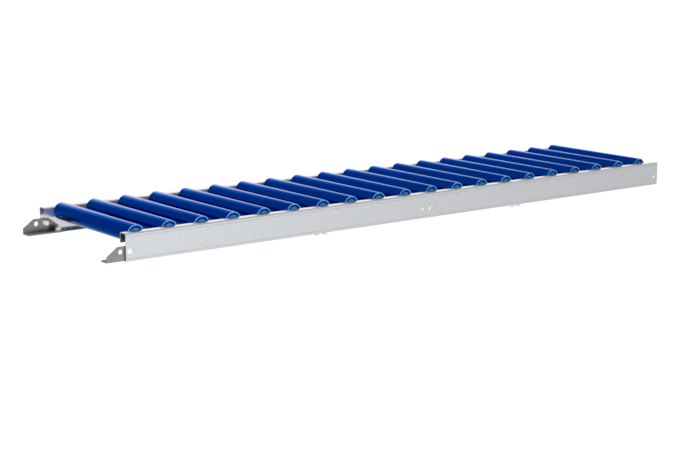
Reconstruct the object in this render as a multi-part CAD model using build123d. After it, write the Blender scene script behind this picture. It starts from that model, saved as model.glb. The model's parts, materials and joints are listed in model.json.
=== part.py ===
from build123d import *
import math
import os

# Gravity roller conveyor: one straight section with free-turning rollers between two steel side rails.
# X runs along the conveyor, Y across it and Z up, in millimetres.
# The origin is on the plane that the section stands on, under the middle of its length and width.

# Driving dimensions of the conveyor.
ROLLER_COUNT = 20
ROLLER_PITCH = 100.0
ROLLER_DIAMETER = 50.0
ROLLER_LENGTH = 400.0
FRAME_WIDTH = 470.0
RAIL_HEIGHT = 73.0
AXLE_DROP = 12.0  # the roller's axis below the top of the rails

# Side rails: a C profile of bent sheet whose top flange ends in a lip that hangs down.
SHEET = 2.0
BEND_INSIDE = 1.5
RAIL_FLANGE = 28.0
RAIL_LIP = 27.0
GROOVE_HEIGHTS = (7.4, 64.4)  # the two rolled grooves along the outside of the web
GROOVE_DEPTH = 0.4
GROOVE_RADIUS = 1.4

# Holes in the rails and brackets.
BOLT_HOLE = 4.5
WEB_HOLE_HEIGHT = 27.0
WEB_HOLE_INSET = 14.0  # from the end of a rail, or from the middle
FOOT_HOLE_INSET = 45.0
FOOT_HOLE_REACH = 18.0  # from the outside of the rail
TIE_HOLE_REACH = 16.0
TIE_HOLE_SPACING = 26.0

# Joining brackets: trapezoid plates with a foot, half of each inside the rail.
BRACKET_SHEET = 3.0
BRACKET_LENGTH = 107.0
BRACKET_TOP = 43.0
BRACKET_HEIGHT = 39.0
BRACKET_END_HEIGHT = 16.0
BRACKET_FOOT = 34.0
BRACKET_HOLE = 6.5
BRACKET_CORNER = 4.0

# Cross ties: shallow channels that lie on the bottom flanges of both rails.
TIE_OFFSET = 372.0  # along the rails, from their middle
TIE_WIDTH = 50.0
TIE_HEIGHT = 20.0
TIE_END_GAP = 5.0

# Fasteners, all M8.
BOLT_RADIUS = 4.0
BOLT_CHAMFER = 0.8
BOLT_END = 1.5  # thread that stands out of a nut
HEX_FLATS = 13.0
HEX_HEAD = 5.3
HEX_BEVEL = 0.9
NUT_HEIGHT = 8.0
NUT_FLANGE_RADIUS = 8.95
NUT_FLANGE = 1.6
NUT_BORE = 4.05
DOME_RADIUS = 9.5
DOME_HEIGHT = 4.4
SINK_RADIUS = 7.85
SINK_CLEARANCE = 0.15
WASHER_RADIUS = 8.0
WASHER_BORE = 4.2
WASHER = 1.6

# Rollers: a tube, and in each end a moulded cap that holds a ball bearing.
TUBE_WALL = 1.5
TUBE_EDGE = 0.6
PRESS_GAP = 0.05
CAP_SKIRT_WALL = 1.4
CAP_SKIRT = 16.0
CAP_WEB = 2.0
CAP_RECESS = 8.0
HUB_RADIUS = 15.6
HUB_DEPTH = 14.0
HUB_FACE = 2.0
HUB_OPENING = 9.9
HUB_EDGE = 0.6

# Bearings.
BALL_RADIUS = 2.1
BALL_CLEARANCE = 0.3
BALL_CIRCLE = 11.0
BALL_COUNT = 8
RACE_WIDTH = 9.0
OUTER_RACE = (12.8, 14.25)
INNER_RACE_RADIUS = 9.2
INNER_RACE_NOSE = 1.5

# Axles: hexagonal bar, held in hexagonal holes in both lips by a split pin at each end.
AXLE_FLATS = 11.0
AXLE_LENGTH = 442.0
AXLE_CHAMFER = 1.0
AXLE_HOLE_FLATS = 11.4
RACE_BORE_FLATS = 11.2
PIN_RADIUS = 1.5
PIN_HOLE = 1.6
PIN_INSET = 6.0  # from the end of the axle
PIN_LENGTH = 16.0
PIN_EYE = 2.4
PIN_EYE_WIRE = 0.9

# Places that follow from the dimensions above.
STAND = NUT_HEIGHT + BOLT_END  # the rails' underside above the floor: the nuts are below it
RAIL_LENGTH = ROLLER_COUNT * ROLLER_PITCH
RAIL_START = (BRACKET_LENGTH / 2 - RAIL_LENGTH) / 2
RAIL_MIDDLE = RAIL_START + RAIL_LENGTH / 2
RAIL_END = RAIL_START + RAIL_LENGTH
RAIL_FACE = FRAME_WIDTH / 2
AXLE_HEIGHT = STAND + RAIL_HEIGHT - AXLE_DROP
ROLLER_RADIUS = ROLLER_DIAMETER / 2
TUBE_BORE = ROLLER_RADIUS - TUBE_WALL
ROLLER_PLACES = [RAIL_START + ROLLER_PITCH * (i + 0.5) for i in range(ROLLER_COUNT)]
TIE_PLACES = [RAIL_MIDDLE - TIE_OFFSET, RAIL_MIDDLE + TIE_OFFSET]
BACK = Plane.XZ  # the mirror between the front and the back rail

parts = {}


def bent_section(outside, inside, thickness):
    """The face between the outer and inner outline of a bent sheet."""
    outer = FilletPolyline(*outside, radius=BEND_INSIDE + thickness)
    inner = FilletPolyline(*inside, radius=BEND_INSIDE)
    ends = [Line(outer @ 0, inner @ 0), Line(outer @ 1, inner @ 1)]
    return make_face(outer.edges() + inner.edges() + ends)


def along_y(shape, x, y, z):
    """Turn a shape made about +Z so that its axis is +Y, and place it."""
    return Pos(x, y, z) * Rot(X=-90) * shape


def upright(shape, x, y, z):
    return Pos(x, y, z) * shape


def both_sides(shapes):
    """The shapes, and their mirror images at the other side of the conveyor."""
    return shapes + [mirror(shape, about=BACK) for shape in shapes]


def group(name, shapes):
    """One node of separate solids."""
    parts[name] = Compound(children=[solid for shape in shapes for solid in shape.solids()])


def hexagon(flats, length):
    """A hexagonal bar along +Z from the origin."""
    return extrude(RegularPolygon(flats / 2, 6, major_radius=False), length)


def disc(radius, low, high):
    """A cylinder about +Z between two heights."""
    return Pos(0, 0, low) * Cylinder(radius, high - low, align=(Align.CENTER, Align.CENTER, Align.MIN))


def ring(outer, inner, low, high):
    return disc(outer, low, high) - disc(inner, low - 1, high + 1)


def turned(outline):
    """A solid turned about +Z from its outline, given as (radius, height) points."""
    return revolve(Plane.XZ * make_face(Polyline(*outline, close=True)), Axis.Z)


# Fasteners. Each has its axis on +Z and its seat at the origin.


def shank(length):
    tip = BOLT_RADIUS - BOLT_CHAMFER
    shoulder = length - BOLT_CHAMFER
    return turned([(0, 0), (BOLT_RADIUS, 0), (BOLT_RADIUS, shoulder), (tip, length), (0, length)])


def bevelled_hexagon(flats, length):
    """A hexagonal bar along +Z whose corners are bevelled at the far end."""
    corner = flats / 2 / math.cos(math.radians(30))
    bevel = length - HEX_BEVEL
    return hexagon(flats, length) & turned(
        [(0, 0), (corner, 0), (corner, bevel), (flats / 2, length), (0, length)]
    )


def flange_nut():
    body = bevelled_hexagon(HEX_FLATS, NUT_HEIGHT)
    edge = NUT_FLANGE_RADIUS
    neck = HEX_FLATS / 2
    flange = turned([(0, 0), (edge, 0), (edge, NUT_FLANGE / 2), (neck, NUT_FLANGE * 2), (0, NUT_FLANGE * 2)])
    return body + flange - disc(NUT_BORE, -1, NUT_HEIGHT + 1)


def hex_bolt(length):
    """A hexagon-head bolt: the head is below the seat, the shank above it."""
    return mirror(bevelled_hexagon(HEX_FLATS, HEX_HEAD), about=Plane.XY) + shank(length)


def dome_bolt(length):
    """A bolt with a plain low dome for a head."""
    sphere = (DOME_RADIUS**2 + DOME_HEIGHT**2) / (2 * DOME_HEIGHT)
    ball = Pos(0, 0, sphere - DOME_HEIGHT) * Sphere(sphere)
    head = ball & disc(DOME_RADIUS + 1, -DOME_HEIGHT - 1, 0)
    return head + shank(length)


def sunk_bolt(length):
    """A countersunk bolt whose head's flat face is at the origin."""
    depth = SINK_RADIUS - BOLT_RADIUS
    return turned([(0, 0), (SINK_RADIUS, 0), (BOLT_RADIUS, depth), (0, depth)]) + shank(length)


def sunk_hole(depth):
    """What is cut for a countersunk bolt through sheet of this depth, from the origin up."""
    wide = SINK_RADIUS + SINK_CLEARANCE
    taper = wide - BOLT_HOLE
    cone = turned([(0, -1), (wide + 1, -1), (BOLT_HOLE, taper), (0, taper)])
    return cone + disc(BOLT_HOLE, -1, depth + 1)


# Side rails.


def side_rail():
    """The front rail, standing at negative Y."""
    top = RAIL_HEIGHT
    rim = top - RAIL_LIP
    outside = [(RAIL_FLANGE, 0), (0, 0), (0, top), (RAIL_FLANGE, top), (RAIL_FLANGE, rim)]
    inner = RAIL_FLANGE - SHEET
    inside = [(RAIL_FLANGE, SHEET), (SHEET, SHEET), (SHEET, top - SHEET), (inner, top - SHEET), (inner, rim)]
    section = bent_section(outside, inside, SHEET)
    for height in GROOVE_HEIGHTS:
        section -= Pos(GROOVE_DEPTH - GROOVE_RADIUS, height) * Circle(GROOVE_RADIUS)
    rail = Pos(RAIL_START, -RAIL_FACE, STAND) * extrude(Plane.YZ * section, RAIL_LENGTH)

    web_hole = disc(BOLT_HOLE, -SHEET, 2 * SHEET)
    for x in (RAIL_START + WEB_HOLE_INSET, RAIL_END - WEB_HOLE_INSET):
        rail -= along_y(web_hole, x, -RAIL_FACE, STAND + WEB_HOLE_HEIGHT)
    for x in (RAIL_MIDDLE - WEB_HOLE_INSET, RAIL_MIDDLE + WEB_HOLE_INSET):
        rail -= along_y(web_hole, x, -RAIL_FACE, STAND + WEB_HOLE_HEIGHT)
    for x in (RAIL_START + FOOT_HOLE_INSET, RAIL_END - FOOT_HOLE_INSET):
        rail -= upright(sunk_hole(SHEET), x, FOOT_HOLE_REACH - RAIL_FACE, STAND)
    for tie in TIE_PLACES:
        for x in (tie - TIE_HOLE_SPACING / 2, tie + TIE_HOLE_SPACING / 2):
            rail -= upright(disc(BOLT_HOLE, -SHEET, 2 * SHEET), x, TIE_HOLE_REACH - RAIL_FACE, STAND)

    axle_hole = hexagon(AXLE_HOLE_FLATS, 3 * SHEET)
    for x in ROLLER_PLACES:
        rail -= along_y(axle_hole, x, RAIL_FLANGE - 2 * SHEET - RAIL_FACE, AXLE_HEIGHT)
    return rail


# Joining brackets, half inside the rail and half beyond its end.


def joining_bracket():
    """The front bracket: against the inside of the web, its foot on the bottom flange."""
    half = BRACKET_LENGTH / 2
    thick = BRACKET_SHEET
    outside = [(BRACKET_FOOT, 0), (0, 0), (0, BRACKET_HEIGHT)]
    inside = [(BRACKET_FOOT, thick), (thick, thick), (thick, BRACKET_HEIGHT)]
    angle = Pos(-half, 0, 0) * extrude(Plane.YZ * bent_section(outside, inside, thick), BRACKET_LENGTH)

    side = Polyline(
        (-half, -1),
        (half, -1),
        (half, BRACKET_END_HEIGHT),
        (BRACKET_TOP / 2, BRACKET_HEIGHT),
        (-BRACKET_TOP / 2, BRACKET_HEIGHT),
        (-half, BRACKET_END_HEIGHT),
        close=True,
    )
    face = make_face(side)
    face = fillet(face.vertices().filter_by(lambda v: v.Y > 0), BRACKET_CORNER)
    outline = Pos(0, BRACKET_FOOT + 1, 0) * extrude(Plane.XZ * face, BRACKET_FOOT + 2)
    bracket = angle & outline
    foot_corners = bracket.edges().filter_by(Axis.Z).filter_by(lambda e: e.center().Y > BRACKET_FOOT - 1)
    bracket = fillet(foot_corners, BRACKET_CORNER)

    for x in (-WEB_HOLE_INSET, WEB_HOLE_INSET):
        hole = disc(BRACKET_HOLE, -1, thick + 1)
        bracket -= along_y(hole, x, 0, WEB_HOLE_HEIGHT - SHEET)
    for x in (-FOOT_HOLE_INSET, FOOT_HOLE_INSET):
        bracket -= upright(sunk_hole(thick + SHEET), x, FOOT_HOLE_REACH - SHEET, -SHEET)
    return Pos(RAIL_START, SHEET - RAIL_FACE, STAND + SHEET) * bracket


# Cross ties.


def cross_tie(x):
    half = TIE_WIDTH / 2
    outside = [(-half, TIE_HEIGHT), (-half, 0), (half, 0), (half, TIE_HEIGHT)]
    inner = half - SHEET
    inside = [(-inner, TIE_HEIGHT), (-inner, SHEET), (inner, SHEET), (inner, TIE_HEIGHT)]
    length = FRAME_WIDTH - 2 * TIE_END_GAP
    tie = Pos(x, length / 2, STAND + SHEET) * extrude(Plane.XZ * bent_section(outside, inside, SHEET), length)
    for hole_x, hole_y in tie_bolt_places(x):
        tie -= upright(disc(BOLT_HOLE, -1, SHEET + 1), hole_x, hole_y, STAND + SHEET)
    return tie


def tie_bolt_places(x):
    """The four bolts of one cross tie, as (x, y)."""
    reach = RAIL_FACE - TIE_HOLE_REACH
    return [(x + sx * TIE_HOLE_SPACING / 2, sy * reach) for sy in (-1, 1) for sx in (-1, 1)]


# Rollers, made with their axis along +Z and one end at the origin.


def roller_tube():
    tube = ring(ROLLER_RADIUS, TUBE_BORE, 0, ROLLER_LENGTH)
    rims = tube.edges().filter_by(GeomType.CIRCLE).filter_by(lambda e: e.radius > TUBE_BORE + 0.5)
    return fillet(rims, TUBE_EDGE)


def end_cap():
    """A cap whose rim and hub are level with the end of the tube, with a deep ring between them."""
    skirt = TUBE_BORE - PRESS_GAP
    bore = OUTER_RACE[1] + PRESS_GAP
    floor = CAP_RECESS + CAP_WEB
    return turned(
        [
            (HUB_OPENING, 0),
            (HUB_RADIUS - HUB_EDGE, 0),
            (HUB_RADIUS, HUB_EDGE),
            (HUB_RADIUS, CAP_RECESS),
            (skirt - CAP_SKIRT_WALL, CAP_RECESS),
            (skirt - CAP_SKIRT_WALL, 0),
            (skirt, 0),
            (skirt, CAP_SKIRT),
            (skirt - CAP_SKIRT_WALL, CAP_SKIRT),
            (skirt - CAP_SKIRT_WALL, floor),
            (HUB_RADIUS, floor),
            (HUB_RADIUS, HUB_DEPTH),
            (bore, HUB_DEPTH),
            (bore, HUB_FACE),
            (HUB_OPENING, HUB_FACE),
        ]
    )


def ball_groove(race_start):
    """The torus that both races are grooved for, at the middle of the race."""
    return Pos(0, 0, race_start + RACE_WIDTH / 2) * Torus(BALL_CIRCLE, BALL_RADIUS + BALL_CLEARANCE)


def outer_race():
    start = HUB_FACE + PRESS_GAP
    return ring(OUTER_RACE[1], OUTER_RACE[0], start, start + RACE_WIDTH) - ball_groove(start)


def inner_race():
    """The ring on the axle, with a nose that stands out of the hub towards the rail."""
    start = HUB_FACE + PRESS_GAP
    body = disc(INNER_RACE_RADIUS, -INNER_RACE_NOSE, start + RACE_WIDTH)
    bore = Pos(0, 0, -2 * INNER_RACE_NOSE) * hexagon(RACE_BORE_FLATS, RACE_WIDTH * 3)
    return body - bore - ball_groove(start)


def bearing_balls():
    height = HUB_FACE + PRESS_GAP + RACE_WIDTH / 2
    return [
        Pos(x, y, height) * Sphere(BALL_RADIUS)
        for x, y in (
            (BALL_CIRCLE * math.cos(a), BALL_CIRCLE * math.sin(a))
            for a in (2 * math.pi * i / BALL_COUNT for i in range(BALL_COUNT))
        )
    ]


def roller_axle():
    """The bar between the rails, along +Z from its own end, with the two holes for its pins."""
    bar = hexagon(AXLE_FLATS, AXLE_LENGTH)
    corner = AXLE_FLATS / 2 / math.cos(math.radians(30))
    tip = corner - AXLE_CHAMFER
    bar &= turned(
        [
            (0, 0),
            (tip, 0),
            (corner, AXLE_CHAMFER),
            (corner, AXLE_LENGTH - AXLE_CHAMFER),
            (tip, AXLE_LENGTH),
            (0, AXLE_LENGTH),
        ]
    )
    for place in (PIN_INSET, AXLE_LENGTH - PIN_INSET):
        bar -= Pos(0, 0, place) * Rot(X=90) * Cylinder(PIN_HOLE, 2 * AXLE_FLATS)
    return bar


def axle_pin():
    """A split pin, upright, with its eye at the bottom."""
    eye = Pos(0, 0, -PIN_LENGTH / 2 - PIN_EYE) * Rot(X=90) * Torus(PIN_EYE, PIN_EYE_WIRE)
    return Cylinder(PIN_RADIUS, PIN_LENGTH) + eye


# Rollers and what is in them.

FRONT_END = -ROLLER_LENGTH / 2
front_tube = roller_tube()
front_cap = end_cap()
front_outer_race = outer_race()

inner_races = []
balls = []
axles = []
pins = []
for number, x in enumerate(ROLLER_PLACES, start=1):
    parts[f"roller_{number:02d}_tube"] = along_y(front_tube, x, FRONT_END, AXLE_HEIGHT)
    caps = [along_y(piece, x, FRONT_END, AXLE_HEIGHT) for piece in (front_cap, front_outer_race)]
    group(f"roller_{number:02d}_end_caps", both_sides(caps))
    inner_races.append(along_y(inner_race(), x, FRONT_END, AXLE_HEIGHT))
    balls += [along_y(ball, x, FRONT_END, AXLE_HEIGHT) for ball in bearing_balls()]
    axles.append(along_y(roller_axle(), x, -AXLE_LENGTH / 2, AXLE_HEIGHT))
    pins.append(upright(axle_pin(), x, PIN_INSET - AXLE_LENGTH / 2, AXLE_HEIGHT))

group("roller_axles", axles)
group("axle_split_pins", both_sides(pins))
group("bearing_inner_races", both_sides(inner_races))
group("bearing_balls", both_sides(balls))

# The frame.

front_rail = side_rail()
parts["side_rail_front"] = front_rail
parts["side_rail_back"] = mirror(front_rail, about=BACK)

front_bracket = joining_bracket()
parts["joining_bracket_front"] = front_bracket
parts["joining_bracket_back"] = mirror(front_bracket, about=BACK)

parts["cross_tie_left"] = cross_tie(TIE_PLACES[0])
parts["cross_tie_right"] = cross_tie(TIE_PLACES[1])

# The cross ties' bolts go down through the tie and the rail, with their nuts under the rail.
tie_stack = 2 * SHEET
tie_bolt = Rot(X=180) * hex_bolt(tie_stack + WASHER + STAND)
tie_nut = Rot(X=180) * flange_nut()
tie_washer = ring(WASHER_RADIUS, WASHER_BORE, 0, WASHER)
bolt_places = [place for tie in TIE_PLACES for place in tie_bolt_places(tie)]
group("tie_bolts", [upright(tie_bolt, x, y, STAND + tie_stack + WASHER) for x, y in bolt_places])
group("tie_bolt_washers", [upright(tie_washer, x, y, STAND + tie_stack) for x, y in bolt_places])
group("tie_nuts", [upright(tie_nut, x, y, STAND) for x, y in bolt_places])

# Each bracket has a domed bolt through the rail's web and a countersunk one up through its foot.
bracket_stack = SHEET + BRACKET_SHEET
bolt_length = bracket_stack + NUT_HEIGHT + BOLT_END
web_x = RAIL_START + WEB_HOLE_INSET
web_z = STAND + WEB_HOLE_HEIGHT
foot_x = RAIL_START + FOOT_HOLE_INSET
foot_y = FOOT_HOLE_REACH - RAIL_FACE
web_bolt = along_y(dome_bolt(bolt_length), web_x, -RAIL_FACE, web_z)
web_nut = along_y(flange_nut(), web_x, bracket_stack - RAIL_FACE, web_z)
foot_bolt = upright(sunk_bolt(bolt_length), foot_x, foot_y, STAND)
foot_nut = upright(flange_nut(), foot_x, foot_y, STAND + bracket_stack)
group("bracket_web_bolts", both_sides([web_bolt]))
group("bracket_web_nuts", both_sides([web_nut]))
group("bracket_foot_bolts", both_sides([foot_bolt]))
group("bracket_foot_nuts", both_sides([foot_nut]))

os.makedirs("parts", exist_ok=True)
for name, shape in parts.items():
    export_step(shape, f"parts/{name}.step")
print(len(parts), "nodes")
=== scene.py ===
import json
import math

import bmesh
import bpy
from mathutils import Matrix, Vector


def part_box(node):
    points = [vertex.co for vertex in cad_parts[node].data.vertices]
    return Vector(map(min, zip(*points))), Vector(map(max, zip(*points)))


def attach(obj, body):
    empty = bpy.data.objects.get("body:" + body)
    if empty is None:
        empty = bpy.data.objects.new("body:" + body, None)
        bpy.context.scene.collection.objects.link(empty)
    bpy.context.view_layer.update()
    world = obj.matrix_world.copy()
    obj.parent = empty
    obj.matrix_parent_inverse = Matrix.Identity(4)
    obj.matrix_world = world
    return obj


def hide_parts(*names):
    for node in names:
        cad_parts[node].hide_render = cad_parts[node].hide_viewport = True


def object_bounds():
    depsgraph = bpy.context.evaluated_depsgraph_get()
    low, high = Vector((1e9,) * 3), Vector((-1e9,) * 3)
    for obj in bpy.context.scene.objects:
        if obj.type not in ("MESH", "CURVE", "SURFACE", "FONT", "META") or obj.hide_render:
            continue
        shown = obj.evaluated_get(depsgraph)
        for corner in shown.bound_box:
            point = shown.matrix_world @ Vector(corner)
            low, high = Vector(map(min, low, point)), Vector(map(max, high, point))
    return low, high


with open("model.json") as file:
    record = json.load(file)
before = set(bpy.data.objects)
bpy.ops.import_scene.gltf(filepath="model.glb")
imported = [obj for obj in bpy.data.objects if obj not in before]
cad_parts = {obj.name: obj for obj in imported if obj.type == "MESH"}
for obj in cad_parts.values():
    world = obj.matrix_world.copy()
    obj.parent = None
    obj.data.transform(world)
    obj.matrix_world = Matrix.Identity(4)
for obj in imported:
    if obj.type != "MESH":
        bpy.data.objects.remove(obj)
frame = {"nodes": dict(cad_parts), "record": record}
CAD_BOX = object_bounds()

MM = 0.001
nodes = frame["nodes"]
TUBES = sorted(name for name in nodes if name.endswith("_tube"))
CAPS = sorted(name for name in nodes if name.endswith("_end_caps"))

# The rollers' sizes, from the first of them.
low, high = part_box(TUBES[0])
TUBE_RADIUS = (high.z - low.z) / 2
TUBE_HALF = (high.y - low.y) / 2
low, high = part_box(CAPS[0])
CAP_RADIUS = (high.z - low.z) / 2

# The start, outer face and foot of the front rail, and how far from the middle line the rails' lips
# have their hidden side.
RAIL_START, RAIL_FACE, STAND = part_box("side_rail_front")[0]
SHEET, FLANGE = 2.0 * MM, 28.0 * MM
LIP_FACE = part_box("side_rail_back")[1].y - FLANGE + SHEET


# ---------------------------------------------------------------- materials


def computed(tree, operation, a, b):
    """A Math node's result. a and b are sockets or numbers."""
    node = tree.nodes.new("ShaderNodeMath")
    node.operation = operation
    for socket, value in zip(node.inputs, (a, b)):
        if isinstance(value, float):
            socket.default_value = value
        else:
            tree.links.new(value, socket)
    return node.outputs[0]


def components(tree, vector):
    """The sockets X, Y and Z of a vector."""
    node = tree.nodes.new("ShaderNodeSeparateXYZ")
    tree.links.new(vector, node.inputs[0])
    return node.outputs


class Paint:
    """A node material being put together, with its Principled shader and object coordinates.

    The rollers' tubes and caps have their origin in the middle of the roller, and the CAD nodes have
    theirs at the frame's."""

    def __init__(self, name):
        self.material = bpy.data.materials.new(name)
        self.material.use_nodes = True
        self.tree = self.material.node_tree
        self.shader = self.tree.nodes["Principled BSDF"]
        self.place = self.tree.nodes.new("ShaderNodeTexCoord").outputs["Object"]

    def set(self, **values):
        """Numbers and colours for the shader's sockets, the same all over."""
        for name, value in values.items():
            self.shader.inputs[name.replace("_", " ")].default_value = value

    def feed(self, **sources):
        """Other nodes' sockets for the shader's."""
        for name, source in sources.items():
            self.link(source, self.shader.inputs[name.replace("_", " ")])

    def link(self, source, target):
        self.tree.links.new(source, target)

    def noise(self, scale, detail=2.0, roughness=0.5, stretch=(1, 1, 1)):
        mapping = self.tree.nodes.new("ShaderNodeMapping")
        mapping.inputs["Scale"].default_value = stretch
        self.link(self.place, mapping.inputs["Vector"])
        node = self.tree.nodes.new("ShaderNodeTexNoise")
        node.inputs["Scale"].default_value = scale
        node.inputs["Detail"].default_value = detail
        node.inputs["Roughness"].default_value = roughness
        self.link(mapping.outputs["Vector"], node.inputs["Vector"])
        return node.outputs["Fac"]

    def cells(self, scale):
        """A value for each cell of a random tiling, the same all over the cell."""
        node = self.tree.nodes.new("ShaderNodeTexVoronoi")
        node.inputs["Scale"].default_value = scale
        self.link(self.place, node.inputs["Vector"])
        split = self.tree.nodes.new("ShaderNodeSeparateColor")
        self.link(node.outputs["Color"], split.inputs[0])
        return split.outputs[0]

    def mapped(self, value, low, high, start=0.0, end=1.0):
        """low to high as the value goes from start to end."""
        node = self.tree.nodes.new("ShaderNodeMapRange")
        limits = {"From Min": start, "From Max": end, "To Min": low, "To Max": high}
        for name, number in limits.items():
            node.inputs[name].default_value = number
        self.link(value, node.inputs["Value"])
        return node.outputs["Result"]

    def math(self, operation, a, b=0.0):
        return computed(self.tree, operation, a, b)

    def mixed(self, first, second, share):
        """Two values added, the second with this share."""
        parts = self.math("MULTIPLY", first, 1.0 - share), self.math("MULTIPLY", second, share)
        return self.math("ADD", *parts)

    def away(self, axis):
        """The distance from the piece's origin along one axis."""
        return self.math("ABSOLUTE", components(self.tree, self.place)[axis])

    def radius(self, *axes):
        """The distance from the line through the piece's origin that is square to two axes."""
        place = components(self.tree, self.place)
        squares = [self.math("MULTIPLY", place[axis], place[axis]) for axis in axes]
        return self.math("SQRT", self.math("ADD", *squares))

    def facing_out(self, least=0.1):
        """1 where the surface faces away from the line Y = 0, and 0 elsewhere.

        least is for the Y of the surface's normal times the Y of its place, in metres."""
        normal = self.tree.nodes.new("ShaderNodeTexCoord").outputs["Normal"]
        facing = components(self.tree, normal)["Y"]
        across = components(self.tree, self.place)["Y"]
        return self.math("GREATER_THAN", self.math("MULTIPLY", facing, across), least)

    def grazing(self):
        """0 where the surface is seen head on, rising to 1 at its outline."""
        node = self.tree.nodes.new("ShaderNodeLayerWeight")
        node.inputs["Blend"].default_value = 0.5
        return node.outputs["Facing"]

    def spot(self, centre, reach):
        """1 at a point, fading to 0 at a distance from it along each axis."""
        mapping = self.tree.nodes.new("ShaderNodeMapping")
        mapping.inputs["Scale"].default_value = [1 / far for far in reach]
        mapping.inputs["Location"].default_value = [-at / far for at, far in zip(centre, reach)]
        self.link(self.place, mapping.inputs["Vector"])
        node = self.tree.nodes.new("ShaderNodeTexGradient")
        node.gradient_type = "SPHERICAL"
        self.link(mapping.outputs["Vector"], node.inputs["Vector"])
        return node.outputs["Fac"]

    def tinted(self, shade, colour):
        """A shade times one colour."""
        node = self.tree.nodes.new("ShaderNodeMix")
        node.data_type = "RGBA"
        node.blend_type = "MULTIPLY"
        node.inputs["Factor"].default_value = 1.0
        self.link(shade, node.inputs["A"])
        node.inputs["B"].default_value = (*colour, 1)
        return node.outputs["Result"]

    def blend(self, factor, first, second):
        """From a colour socket to one colour, or to another socket."""
        node = self.tree.nodes.new("ShaderNodeMix")
        node.data_type = "RGBA"
        self.link(factor, node.inputs["Factor"])
        self.link(first, node.inputs["A"])
        if isinstance(second, tuple):
            node.inputs["B"].default_value = (*second, 1)
        else:
            self.link(second, node.inputs["B"])
        return node.outputs["Result"]

    def ramp(self, value, *stops):
        """A colour from a value, by (value, colour) stops."""
        node = self.tree.nodes.new("ShaderNodeValToRGB")
        band = node.color_ramp
        while len(band.elements) < len(stops):
            band.elements.new(0.5)
        for element, (place, colour) in zip(band.elements, stops):
            element.position = place
            element.color = (*colour, 1)
        self.link(value, node.inputs["Fac"])
        return node.outputs["Color"]

    def bump(self, height, depth, strength=1.0):
        node = self.tree.nodes.new("ShaderNodeBump")
        node.inputs["Distance"].default_value = depth
        node.inputs["Strength"].default_value = strength
        self.link(height, node.inputs["Height"])
        self.feed(Normal=node.outputs["Normal"])


def galvanised(name, light, dark, lip_shade, edge):
    """Zinc-coated sheet: faint spangle and streaks, and painted shade on the hidden side of the
    lips.
    """
    paint = Paint(name)
    spangle = paint.cells(140.0)
    streaks = paint.noise(180.0, 4.0, 0.6, (0.06, 1, 1))
    zinc = paint.ramp(paint.mixed(spangle, streaks, 0.6), (0.2, dark), (0.8, light))
    # Painted shade: the lips' faces towards the web get a dark colour that stands in for the shade
    # inside the channel.
    inward = paint.math("LESS_THAN", paint.away("Y"), LIP_FACE + 1.0 * MM)
    lip_shade_mask = paint.math("MULTIPLY", inward, paint.facing_out())
    paint.feed(
        Base_Color=paint.blend(lip_shade_mask, zinc, lip_shade),
        Roughness=paint.mapped(spangle, 0.13, 0.17),
    )
    paint.bump(paint.noise(420.0, 3.0, 0.5, (0.1, 1, 1)), 0.00003, 0.2)
    paint.set(Metallic=0.85, Specular_Tint=(*edge, 1.0))
    return paint.material


def dull_steel(name, light, dark, spot_shade, shade_spots, darkest=0.88):
    """Bare hot-rolled plate with a dull, slightly warm skin, and painted shade in spots."""
    paint = Paint(name)
    cloud = paint.noise(45.0, 5.0, 0.6)
    grain = paint.noise(700.0, 2.0)
    skin = paint.ramp(paint.mixed(cloud, grain, 0.3), (0.3, dark), (0.7, light))
    # Painted shade: each spot blends the plate towards a near-black colour where shade falls.
    for centre, reach, start, end in shade_spots:
        spot = paint.mapped(paint.spot(centre, reach), 0.0, darkest, start, end)
        skin = paint.blend(spot, skin, spot_shade)
    paint.feed(Base_Color=skin, Roughness=paint.mapped(cloud, 0.42, 0.62))
    paint.bump(grain, 0.00005, 0.6)
    paint.set(Metallic=0.6)
    return paint.material


def bright_metal(name, light, dark, smooth=0.22, rough=0.4, metallic=0.9):
    """Plated or drawn steel with fine marks."""
    paint = Paint(name)
    marks = paint.noise(260.0, 4.0, 0.65)
    paint.feed(
        Base_Color=paint.ramp(marks, (0.3, dark), (0.7, light)),
        Roughness=paint.mapped(marks, smooth, rough),
    )
    paint.bump(paint.noise(900.0, 2.0), 0.00002, 0.4)
    paint.set(Metallic=metallic)
    return paint.material


def tube_blue(name, light, dark, end, near, edge):
    """Deep metallic blue tube with a trace of orange peel, duller on its cut ends, where a lighter
    blue is painted light.

    Its gloss goes from the tint near to the tint edge as the surface turns away."""
    paint = Paint(name)
    drift = paint.noise(14.0, 3.0, 0.5)
    fleck = paint.noise(1500.0, 1.0)
    body = paint.ramp(paint.mixed(drift, fleck, 0.4), (0.3, dark), (0.7, light))
    # Painted light: the end faces get a lighter blue that stands in for light falling on them, and
    # less metal for their duller finish.
    end_light_and_dullness = paint.mapped(paint.away("Y"), 0.0, 1.0, TUBE_HALF - 0.5 * MM, TUBE_HALF - 0.2 * MM)
    paint.feed(
        Base_Color=paint.blend(end_light_and_dullness, body, end),
        Metallic=paint.mapped(end_light_and_dullness, 1.0, 0.15),
        Roughness=paint.mapped(drift, 0.11, 0.15),
        Specular_Tint=paint.ramp(paint.grazing(), (0.45, near), (0.8, edge)),
    )
    paint.bump(paint.noise(260.0, 2.0), 0.00003, 0.15)
    return paint.material


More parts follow.
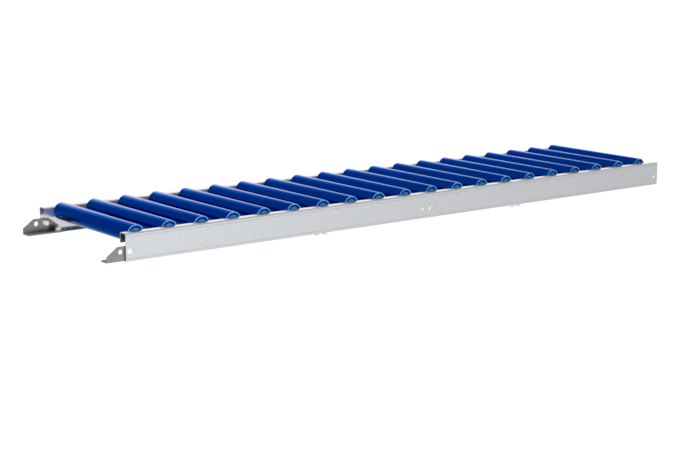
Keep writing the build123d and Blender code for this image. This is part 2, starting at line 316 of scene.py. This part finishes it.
def cap_blue(name, rim, hub, recess_shade):
    """Moulded blue plastic with a gloss: a pale rim, a deeper hub, and painted shade in the sunk
    ring between them.
    """
    paint = Paint(name)
    cloud = paint.noise(120.0, 3.0)
    shade = paint.ramp(cloud, (0.3, (0.88, 0.88, 0.88)), (0.7, (1.0, 1.0, 1.0)))
    outer = paint.mapped(paint.radius("X", "Z"), 0.0, 1.0, 16.5 * MM, 18.0 * MM)
    # Painted shade: the recess deeper than a millimetre gets a dark navy colour for the shade that
    # falls in it.
    recess_shade_mask = paint.mapped(paint.away("Y"), 1.0, 0.0, TUBE_HALF - 3.0 * MM, TUBE_HALF - 1.0 * MM)
    skin = paint.blend(outer, paint.tinted(shade, hub), paint.tinted(shade, rim))
    paint.feed(Base_Color=paint.blend(recess_shade_mask, skin, recess_shade), Roughness=paint.mapped(cloud, 0.28, 0.36))
    paint.bump(paint.noise(900.0, 2.0), 0.00001, 0.3)
    paint.set(Coat_Weight=0.1, Coat_Roughness=0.1, Specular_IOR_Level=0.35)
    return paint.material


# Painted shade on the back bracket, at its inner corner, where it also stands in for a dark
# reflection, and along the bend of its foot, and on the front one where it comes out of its rail.
# Each spot has a point, the reach along each axis, and the values between which it darkens.
CORNER = (RAIL_START + 34 * MM, -RAIL_FACE - 5 * MM, STAND + 9 * MM)
FOOT_BEND = (RAIL_START + 5 * MM, -RAIL_FACE - 8 * MM, STAND)
RAIL_MOUTH = (RAIL_START - 1 * MM, RAIL_FACE, STAND + 18 * MM)
SHADE_SPOTS = (
    (CORNER, (17 * MM, 15 * MM, 17 * MM), 0.1, 0.5),
    (FOOT_BEND, (90 * MM, 24 * MM, 15 * MM), 0.0, 0.9),
    (RAIL_MOUTH, (6 * MM, 20 * MM, 60 * MM), 0.1, 0.8),
)

MATERIALS = {
    "galvanised_sheet": galvanised(
        "galvanised_sheet",
        light=(0.59, 0.605, 0.63),
        dark=(0.555, 0.57, 0.595),
        # The dark colour painted on the lips' hidden faces as shade.
        lip_shade=(0.1, 0.15, 0.165),
        edge=(0.78, 0.755, 0.71),
    ),
    "bracket_steel": dull_steel(
        "bracket_steel",
        light=(0.31, 0.295, 0.28),
        dark=(0.21, 0.196, 0.184),
        spot_shade=(0.02, 0.018, 0.02),
        shade_spots=SHADE_SPOTS,
    ),
    "roller_blue": tube_blue(
        "roller_blue",
        light=(0.0, 0.045, 0.36),
        dark=(0.0, 0.037, 0.33),
        # The lighter blue painted on the tube's ends as light.
        end=(0.06, 0.38, 0.85),
        near=(0.0, 0.5, 0.86),
        edge=(0.86, 0.84, 0.8),
    ),
    "cap_blue": cap_blue(
        "cap_blue", rim=(0.13, 0.5, 0.97), hub=(0.01, 0.19, 0.56), recess_shade=(0.0, 0.02, 0.2)
    ),
    "bright_bar": bright_metal("bright_bar", light=(0.62, 0.62, 0.62), dark=(0.5, 0.5, 0.5)),
    "zinc_plate": bright_metal(
        "zinc_plate", (0.82, 0.83, 0.84), (0.7, 0.71, 0.73), smooth=0.2, rough=0.35, metallic=0.55
    ),
    "bearing_steel": bright_metal(
        "bearing_steel", (0.7, 0.7, 0.7), (0.6, 0.6, 0.6), smooth=0.12, rough=0.22
    ),
}


def dress(piece, slot):
    piece.data.materials.clear()
    piece.data.materials.append(MATERIALS[slot])


# ---------------------------------------------------------------- meshes


def arc(centre, radius, start, end, steps):
    """Points of an arc, angles in degrees."""
    turns = [math.radians(start + (end - start) * i / steps) for i in range(steps + 1)]
    return [(centre[0] + radius * math.cos(t), centre[1] + radius * math.sin(t)) for t in turns]


def smoothed(mesh, angle=32):
    """Smooth shading, but for edges sharper than an angle in degrees."""
    mesh.shade_smooth()
    mesh.set_sharp_from_angle(angle=math.radians(angle))
    return mesh


def lathe(name, outlines, segments):
    """A mesh turned about Y from closed outlines of (radius, distance along Y) points."""
    mesh = bpy.data.meshes.new(name)
    build = bmesh.new()
    turns = [2 * math.pi * i / segments for i in range(segments)]
    for outline in outlines:
        rings = [
            [build.verts.new((radius * math.cos(t), along, radius * math.sin(t))) for t in turns]
            for radius, along in outline
        ]
        for ring, following in zip(rings, rings[1:] + rings[:1]):
            for i in range(segments):
                j = (i + 1) % segments
                build.faces.new((ring[i], ring[j], following[j], following[i]))
    bmesh.ops.recalc_face_normals(build, faces=build.faces)
    build.to_mesh(mesh)
    build.free()
    return smoothed(mesh)


def both_ends(outline):
    """An outline for one end of a roller, and its mirror for the other."""
    return [outline, [(radius, -along) for radius, along in outline]]


# A roller's radii, and depths from the end of its tube, in millimetres. They are the CAD part's.
RIM, PRESS_GAP = 0.6, 0.05
HUB, HUB_OPENING, HUB_EDGE, HUB_FACE, HUB_DEPTH = 15.6, 9.9, 0.6, 2.0, 14.0
WALL, RECESS, WEB, SKIRT = 1.4, 8.0, 2.0, 16.0
RACE_OUTER, RACE_INNER, RACE_START, RACE_END = 14.25, 12.8, 2.05, 11.05
BALL_CIRCLE, GROOVE_RADIUS = 11.0, 2.4


def point(radius, depth):
    """The outline's point for a radius and depth in millimetres."""
    return (radius * MM, TUBE_HALF - depth * MM)


def tube_outline():
    """The tube's wall, with its rims rounded outside and, by half as much, inside."""
    outer, bore = TUBE_RADIUS / MM, CAP_RADIUS / MM + PRESS_GAP
    outside = arc(point(outer - RIM, RIM), RIM * MM, 0, 90, 6)
    inside = arc(point(bore + RIM / 2, RIM / 2), RIM / 2 * MM, 90, 180, 4)
    end = outside + inside
    return end + [(radius, -along) for radius, along in reversed(end)]


def cap_outline():
    """One cap: its hub with the bearing's seat, the recess, and the ring with its skirt."""
    skirt = CAP_RADIUS / MM
    ring = skirt - WALL
    soft = WALL / 2
    seat = RACE_OUTER + PRESS_GAP
    hub_edge = arc(point(HUB - HUB_EDGE, HUB_EDGE), HUB_EDGE * MM, 90, 0, 5)
    rim = arc(point(ring + soft, soft), soft * MM, 180, 0, 12)
    skirt_end = [point(skirt, SKIRT), point(ring, SKIRT)]
    web = [point(ring, RECESS + WEB), point(HUB, RECESS + WEB), point(HUB, HUB_DEPTH)]
    bearing_seat = [point(seat, HUB_DEPTH), point(seat, HUB_FACE), point(HUB_OPENING, HUB_FACE)]
    outline = [point(HUB_OPENING, 0.0)] + hub_edge + [point(HUB, RECESS), point(ring, RECESS)] + rim
    return outline + skirt_end + web + bearing_seat


def race_outline():
    """A bearing's outer race, with the groove that the balls run in."""
    middle = (RACE_START + RACE_END) / 2
    reach = math.degrees(math.acos((RACE_INNER - BALL_CIRCLE) / GROOVE_RADIUS))
    outside = [(RACE_INNER, RACE_START), (RACE_OUTER, RACE_START), (RACE_OUTER, RACE_END)]
    groove = arc((BALL_CIRCLE, middle), GROOVE_RADIUS, reach, -reach, 10)
    return [point(*pair) for pair in outside + [(RACE_INNER, RACE_END)] + groove]


def body_of(node):
    bodies = frame["record"]["behaviour"]["bodies"]
    return next(name for name, members in bodies.items() if node in members)


def stand_in(name, mesh, slot, node):
    """A piece with a finer mesh in a CAD node's place, in the middle of the node's box."""
    low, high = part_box(node)
    piece = bpy.data.objects.new(name, mesh)
    bpy.context.scene.collection.objects.link(piece)
    piece.location = (low + high) / 2
    dress(piece, slot)
    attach(piece, body_of(node))
    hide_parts(node)


tube_mesh = lathe("tube", [tube_outline()], 128)
for node in TUBES:
    stand_in(node.replace("_tube", "_shell"), tube_mesh, "roller_blue", node)

cap_mesh = lathe("caps", both_ends(cap_outline()) + both_ends(race_outline()), 96)
for node in CAPS:
    stand_in(node.replace("_end_caps", "_caps"), cap_mesh, "cap_blue", node)

# The other CAD nodes keep their own meshes.
for entry in frame["record"]["subparts"]:
    if entry["node"] in TUBES + CAPS:
        continue
    dress(nodes[entry["node"]], entry["material_slot"])
    smoothed(nodes[entry["node"]].data)


# ---------------------------------------------------------------- floor, lights and camera

# The floor lights itself, and glossy rays pass through it to the studio below.
floor_paint = Paint("floor")
tint = floor_paint.ramp(floor_paint.noise(3.0), (0.3, (0.96, 0.96, 0.96)), (0.7, (1.0, 1.0, 1.0)))
floor_paint.feed(Emission_Color=tint)
floor_paint.set(Base_Color=(0.12, 0.12, 0.12, 1), Roughness=0.9, Specular_IOR_Level=0.0)
floor_paint.set(Emission_Strength=1.0)
bpy.ops.mesh.primitive_plane_add(size=80, location=(0, 0, CAD_BOX[0].z))
floor = bpy.context.object
floor.name = "floor"
floor.data.materials.append(floor_paint.material)
floor.visible_glossy = False

# The studio by direction: dim all round, and brighter in a few soft-edged regions. Each region has a
# strength, and fades: an axis of the direction, the value at which the fade starts, and the value at
# which it is full. A region adds what its strength has over DIM, so regions that meet add up.
DIM = 0.54
X, Y, Z = 0, 1, 2
REGIONS = {
    "behind": (1.2, ((X, -0.15, 0.15), (Y, 0.0, 0.2), (Z, 0.72, 0.5), (Z, -0.12, 0.04))),
    "horizon": (0.9, ((X, 0.1, 0.3), (Y, 0.0, 0.2), (Z, 0.5, 0.3), (Z, -0.12, 0.04))),
    "front": (1.22, ((X, 1.1, 0.3), (Y, 0.0, -0.3), (Z, 0.1, -0.1))),
    "under": (0.8, ((Y, -0.1, 0.1), (Z, -0.2, -0.6))),
}
world = bpy.data.worlds.new("studio")
bpy.context.scene.world = world
world.use_nodes = True
tree = world.node_tree


def faded(value, start, end):
    """0 to 1, softly, as the value goes from start to end."""
    node = tree.nodes.new("ShaderNodeMapRange")
    node.interpolation_type = "SMOOTHSTEP"
    node.inputs["From Min"].default_value = start
    node.inputs["From Max"].default_value = end
    tree.links.new(value, node.inputs["Value"])
    return node.outputs["Result"]


direction = components(tree, tree.nodes.new("ShaderNodeTexCoord").outputs["Generated"])
total = DIM
for strength, fades in REGIONS.values():
    region = strength - DIM
    for axis, start, end in fades:
        region = computed(tree, "MULTIPLY", region, faded(direction[axis], start, end))
    total = computed(tree, "ADD", total, region)
tree.links.new(total, tree.nodes["Background"].inputs["Strength"])
tree.nodes["Background"].inputs["Color"].default_value = (1, 1, 1, 1)


def softbox(name, at, towards, size, watts):
    """A lamp that lights the pieces but doesn't show in their gloss."""
    data = bpy.data.lights.new(name, "AREA")
    data.shape = "RECTANGLE"
    data.size, data.size_y = size
    data.energy = watts
    lamp = bpy.data.objects.new(name, data)
    bpy.context.scene.collection.objects.link(lamp)
    lamp.location = at
    lamp.rotation_euler = (Vector(towards) - Vector(at)).to_track_quat("-Z", "Y").to_euler()
    lamp.visible_glossy = False


softbox("key_light", at=(-2.4, -2.6, 1.6), towards=(-0.8, 0, 0), size=(1.6, 1.6), watts=100)
softbox("top_light", at=(0.5, 0.5, 4.0), towards=(0.2, 0, 0), size=(5.0, 4.0), watts=50)

# The camera: its place in metres, the azimuth, elevation and roll of its view in degrees, and its
# lens in millimetres.
EYE = Vector((-2.9109, -3.6396, 0.8652))
AZIMUTH, ELEVATION, ROLL = -37.952, 11.056, 0.276
FOCAL_LENGTH, SENSOR_WIDTH = 80.67, 36.0
camera_data = bpy.data.cameras.new("camera")
camera_data.lens = FOCAL_LENGTH
camera_data.sensor_width = SENSOR_WIDTH
camera = bpy.data.objects.new("camera", camera_data)
bpy.context.scene.collection.objects.link(camera)
bpy.context.scene.camera = camera
turn = Matrix.Rotation(math.radians(AZIMUTH), 4, "Z")
tilt = Matrix.Rotation(math.radians(90 - ELEVATION), 4, "X")
roll = Matrix.Rotation(math.radians(ROLL), 4, "Z")
camera.matrix_world = Matrix.Translation(EYE) @ turn @ tilt @ roll

bpy.context.scene.view_settings.view_transform = "Standard"

bpy.context.view_layer.update()
